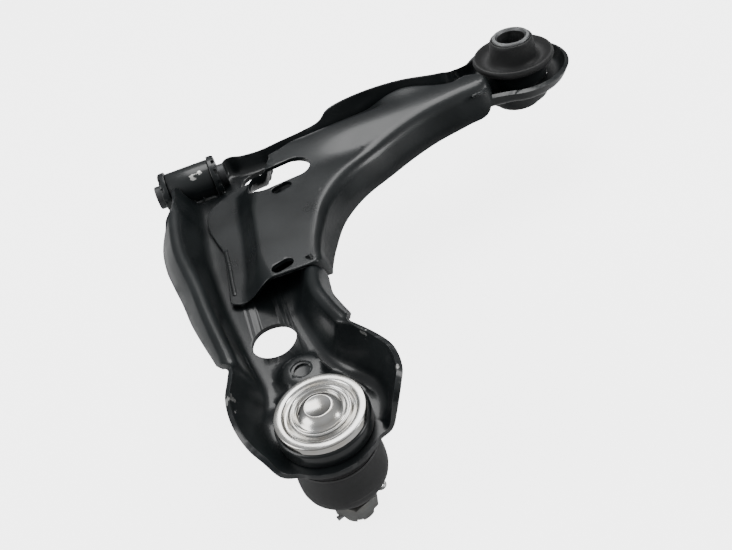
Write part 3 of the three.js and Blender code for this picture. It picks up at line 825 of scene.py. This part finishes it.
# Ball joint: a forged housing pressed up through the pad, closed by a zinc-plated cap with pressed rings,
# and the stud's ball held inside by two plastic seats and a spring washer.
# The housing is a black coated steel forging, pressed into the tray's pad.
joint_axis = (joint_x, joint_y, 0)
housing = spun("joint_housing", [
    (17, -37), (18.4, -35), (18.4, -30), (18.1, -29.4), (18.1, -27), (19.4, -26), (19.4, -12.65),
    (23, -12.65), (23.5, -12.1), (23.5, -5.2), (23, -4.5), (22.2, -4), (16.9, -4), (16.9, -33),
    (13.4, -33.4), (14.4, -37)],
    "Z", joint_axis, 128, 0.3)
housing.data.materials.append(black_coat("housing_coat"))
belongs(housing, "arm", "black_coat", "ball_joint_housing")

# The cap is a bright zinc-plated steel pressing, set into the housing's top, with rings and a dome.
cap = spun("joint_cap", [
    (0, -2.4), (10, -2.4), (11.5, -3.7), (22.5, -3.7), (22.5, -0.8), (22.3, -0.3), (21.8, 0), (18.8, 0),
    (18.3, -0.2), (17.8, -0.9), (17.2, -1.9), (16.5, -2.1), (15.9, -1.6), (15.5, -0.4), (15.1, 0.2),
    (14.6, 0.35), (14.2, 0.1), (13.9, -0.4), (13.6, -0.4), (13.3, 0.2), (12.9, 0.45), (12.5, 0.3),
    (12.2, -0.3), (11.9, -0.6), (11.3, -0.2), (10.4, 0.7), (9.4, 1.6), (8.4, 2.3), (7.5, 2.8),
    (6.9, 3.05), (6.5, 3.15), (6.2, 3.1), (6, 2.95), (0, 2.95)], "Z", joint_axis, 160)
cap.data.materials.append(turned_metal(
    "bright_zinc", (0.36, 0.36, 0.36), (0.66, 0.66, 0.65), (0.12, 0.3), joint_x, joint_y, 420, 0.16,
    stain=(0.36, 0.28, 0.16)))
belongs(cap, "arm", "zinc", "ball_joint_cap")

# The two seats are off-white plastic shells round the ball. They lie inside the housing.
for node in ("upper_ball_seat", "lower_ball_seat"):
    seat = bpy.data.objects[node]
    seat.data.materials.clear()
    seat.data.materials.append(surface(
        node + "_plastic", (0.62, 0.6, 0.53), (0.72, 0.7, 0.63), (0.4, 0.55), 40, 700, 0.05, 0.0002)[0])

# The washer is spring steel and presses the upper seat on the ball from under the cap.
washer = bpy.data.objects["preload_washer"]
washer.data.materials.clear()
washer.data.materials.append(
    turned_metal("spring_steel", (0.24, 0.24, 0.25), (0.4, 0.4, 0.4), (0.3, 0.45), joint_x, joint_y))


# Dust boot: a thin bulging rubber bellows filled with grease, held by a wire ring on the housing and one on
# the stud.
bulge = spun("boot_upper", [
    (19.8, -21.6), (21.4, -21.6), (21.8, -22), (21.8, -23.8), (21.4, -24.2), (21.4, -25.6), (21.8, -26),
    (21.9, -30), (22.2, -34), (22.7, -38), (22.95, -41), (23, -44), (20.8, -44), (20.4, -38), (19.8, -31)],
    "Z", joint_axis)
bulge.data.materials.append(moulded_rubber("boot_rubber"))
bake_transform(bulge)
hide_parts("dust_boot")

neck = spun("boot_lower", [
    (20.8, -44), (23, -44), (22.9, -46.4), (22.4, -48.6), (21.4, -50.4), (19.6, -52.4), (17.6, -54.2),
    (15.4, -55.8), (13, -57.6), (11.9, -58.8), (11.5, -60), (11.4, -61.4), (11.1, -61.8), (11.1, -63),
    (11.4, -63.2), (11.4, -63.6), (11.2, -63.8), (9.6, -63.8), (9.6, -57.4), (14.8, -53.6), (19.6, -48.6)],
    "Z", joint_axis)
neck.data.materials.append(moulded_rubber("neck_rubber"))
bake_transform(neck)

# The two wires are dark spring steel rings that lie in the boot's grooves and clamp its ends.
for name, body, node, radius, level in (
    ("boot_upper_wire", "arm", "boot_upper_ring", 22.55, -24.8),
    ("boot_lower_wire", "boot_ring", "boot_lower_ring", 12.2, -62.5),
):
    turns = [2 * pi * i / 12 for i in range(12)]
    wire = spun(name, [(radius + 0.55 * cos(a), level + 0.62 * sin(a)) for a in turns], "Z", joint_axis)
    wire.data.materials.append(turned_metal(
        name + "_steel", (0.05, 0.05, 0.05), (0.1, 0.1, 0.1), (0.4, 0.55), joint_x, joint_y))
    belongs(wire, body, "spring_steel", node)


# Ball stud: forged and turned steel, with a ball, a thin neck, a taper for the knuckle and a thread,
# a slotted castle nut, and a split pin through both.
ball_r, ball_z = 13, -21
ball = [(ball_r * cos(radians(a)), ball_z + ball_r * sin(radians(a))) for a in range(57, -62, -4)]
thread = [(6.9 if k % 2 else 6.2, -65 - k * 0.62) for k in range(30)]
stud = spun("taper_stud", [
    (0, -10), *ball, (6.3, -34), (6.3, -41), (9, -46), (9, -50), (7.1, -64.5), *thread, (5.9, -84), (0, -84)],
    "Z", joint_axis, 96)
stud.data.materials.append(turned_metal(
    "stud_steel", (0.36, 0.36, 0.37), (0.6, 0.6, 0.6), (0.22, 0.38), joint_x, joint_y, 800, 0.18))
belongs(stud, "stud", "stud_steel", "ball_stud")

# The nut is dull zinc-plated steel: a hexagon, 22 mm across flats, with rounded corners and a collar that
# three slots cut through from side to side. It is screwed on the stud and clamps the knuckle.
across_flats, nut_height, nut_middle = 22, 14, -73
nut_turn = 0.35
pin_z = -77.6
start_clean()
bpy.ops.mesh.primitive_cylinder_add(
    vertices=6, radius=across_flats / 3 ** 0.5 * MM, depth=nut_height * MM,
    location=at(joint_x, joint_y, nut_middle), rotation=(0, 0, nut_turn + pi / 6))
nut = named("castle_nut_hex")
settle(nut)
turned_form = spun("nut_form", [
    (7.25, -81), (9.4, -81), (10.8, -75.5), (11, -75), (12.5, -74.2), (12.8, -73.4), (12.8, -67.8),
    (12.4, -67), (10.9, -66.4), (10.4, -66.4), (10.4, -66.05), (10.2, -65.9), (8.9, -65.9), (8.6, -66.4),
    (7.25, -67.6)], "Z", joint_axis, 96)
finish_with(nut, "BOOLEAN", operation="INTERSECT", object=turned_form, solver="EXACT")
bpy.data.objects.remove(turned_form, do_unlink=True)
for third in range(3):
    start_clean()
    bpy.ops.mesh.primitive_cube_add(
        size=1, location=at(joint_x, joint_y, pin_z), rotation=(0, 0, nut_turn + third * pi / 3),
        scale=(0.03, 0.0034, 0.005))
    cut_away(nut, bpy.context.object)
finish_with(nut, "BEVEL", width=0.00035, segments=2, limit_method="ANGLE", angle_limit=radians(38))
settle(nut, 38)
nut.data.materials.append(turned_metal(
    "nut_zinc", (0.15, 0.157, 0.16), (0.27, 0.275, 0.275), (0.36, 0.55), joint_x, joint_y, 500, 0.1,
    stain=(0.3, 0.27, 0.22)))
belongs(nut, "stud", "nut_zinc", "castle_nut")

# The split pin is bright steel wire: two legs side by side, drawn as one rod, and a looped head. It goes
# through a slot of the nut and the hole in the stud, so that the nut can't turn back.
pin_sides, leg_size, loop_size = 16, 1.35, 0.9
head_x, head_r = 15.2, 2.4
pin_legs = [(12.6 - k * 1.3, 0.0) for k in range(20, -1, -1)]
pin_head = [(head_x + head_r * cos(pi * k / 12), head_r * sin(pi * k / 12)) for k in range(13, 37)]
pin_line = pin_legs + pin_head
start_clean()
bpy.ops.mesh.primitive_circle_add(vertices=pin_sides, radius=0.1, fill_type="NGON")
split_pin = named("split_pin")
for k, (u, w) in enumerate(pin_line):
    if k:
        bpy.ops.object.mode_set(mode="EDIT")
        bpy.ops.mesh.extrude_region()
        bpy.ops.object.mode_set(mode="OBJECT")
    behind, beyond = pin_line[max(k - 1, 0)], pin_line[min(k + 1, len(pin_line) - 1)]
    ahead = Vector((beyond[0] - behind[0], beyond[1] - behind[1])).normalized()
    size = leg_size if k < len(pin_legs) else loop_size
    for i, v in enumerate([v for v in split_pin.data.vertices if v.select]):
        a = 2 * pi * i / pin_sides
        du, dw, dz = -ahead.y * size * cos(a), ahead.x * size * cos(a), size * sin(a)
        x, y = u + du, w + dw
        turned_x = joint_x + x * cos(nut_turn) - y * sin(nut_turn)
        turned_y = joint_y + x * sin(nut_turn) + y * cos(nut_turn)
        v.co = at(turned_x, turned_y, pin_z + dz)
bpy.ops.object.mode_set(mode="EDIT")
bpy.ops.mesh.select_all(action="SELECT")
bpy.ops.mesh.normals_make_consistent(inside=False)
bpy.ops.object.mode_set(mode="OBJECT")
settle(split_pin, 50)
split_pin.data.materials.append(
    turned_metal("pin_steel", (0.32, 0.32, 0.32), (0.5, 0.5, 0.5), (0.3, 0.45), joint_x, joint_y))
belongs(split_pin, "stud", "spring_steel", "cotter_pin")


# Pale plain floor and large soft lights, which stay outside the object.
start_clean()
bpy.ops.mesh.primitive_plane_add(size=8, location=(0, 0, 0))
floor = named("studio_floor")
paint = bpy.data.materials.new("pale_floor")
paint.use_nodes = True
paint_nodes = paint.node_tree.nodes
paint_shader = paint_nodes["Principled BSDF"]
paint_shader.inputs["Base Color"].default_value = (0.6, 0.6, 0.6, 1)
paint_shader.inputs["Roughness"].default_value = 0.95
paint_shader.inputs["Specular IOR Level"].default_value = 0.1
paint_glow = paint_nodes.new("ShaderNodeEmission")
paint_glow.inputs["Strength"].default_value = 4.0
paint_sum = paint_nodes.new("ShaderNodeAddShader")
paint_mix = paint_nodes.new("ShaderNodeMixShader")
paint_path = paint_nodes.new("ShaderNodeLightPath")
paint.node_tree.links.new(paint_shader.outputs["BSDF"], paint_sum.inputs[0])
paint.node_tree.links.new(paint_glow.outputs["Emission"], paint_sum.inputs[1])
paint.node_tree.links.new(paint_path.outputs["Is Camera Ray"], paint_mix.inputs["Fac"])
paint.node_tree.links.new(paint_shader.outputs["BSDF"], paint_mix.inputs[1])
paint.node_tree.links.new(paint_sum.outputs["Shader"], paint_mix.inputs[2])
paint.node_tree.links.new(paint_mix.outputs["Shader"], paint_nodes["Material Output"].inputs["Surface"])
floor.data.materials.append(paint)
for name, place, turn, size, power in (
    ("overhead", (0.2, 0.7, 1.3), (-28, 8, 0), 0.9, 14),
    ("left_window", (-1.1, -0.1, 0.8), (5, -54, 0), 0.7, 8),
    ("right_strip", (1.1, -0.5, 0.7), (30, 50, 0), 0.4, 5),
):
    bpy.ops.object.light_add(type="AREA", location=place, rotation=tuple(radians(a) for a in turn))
    lamp = bpy.context.object
    lamp.name = name
    lamp.data.size = size
    lamp.data.energy = power
world = bpy.data.worlds.new("studio")
bpy.context.scene.world = world
world.use_nodes = True
sky = world.node_tree.nodes
sky_place = sky.new("ShaderNodeTexCoord")
sky_split = sky.new("ShaderNodeSeparateXYZ")
sky_ramp = sky.new("ShaderNodeValToRGB")
sky_ramp.color_ramp.elements[0].position = 0.05
sky_ramp.color_ramp.elements[0].color = (0.1, 0.105, 0.11, 1)
sky_ramp.color_ramp.elements[1].position = 0.95
sky_ramp.color_ramp.elements[1].color = (0.75, 0.76, 0.77, 1)
world.node_tree.links.new(sky_place.outputs["Generated"], sky_split.inputs["Vector"])
world.node_tree.links.new(sky_split.outputs["Z"], sky_ramp.inputs["Fac"])
world.node_tree.links.new(sky_ramp.outputs["Color"], sky["Background"].inputs["Color"])
sky["Background"].inputs["Strength"].default_value = 0.8
sky_seen = sky.new("ShaderNodeBackground")
sky_seen.inputs["Color"].default_value = (0.9, 0.9, 0.9, 1)
sky_seen.inputs["Strength"].default_value = 2.0
sky_path = sky.new("ShaderNodeLightPath")
sky_mix = sky.new("ShaderNodeMixShader")
world.node_tree.links.new(sky_path.outputs["Is Camera Ray"], sky_mix.inputs["Fac"])
world.node_tree.links.new(sky["Background"].outputs["Background"], sky_mix.inputs[1])
world.node_tree.links.new(sky_seen.outputs["Background"], sky_mix.inputs[2])
world.node_tree.links.new(sky_mix.outputs["Shader"], sky["World Output"].inputs["Surface"])
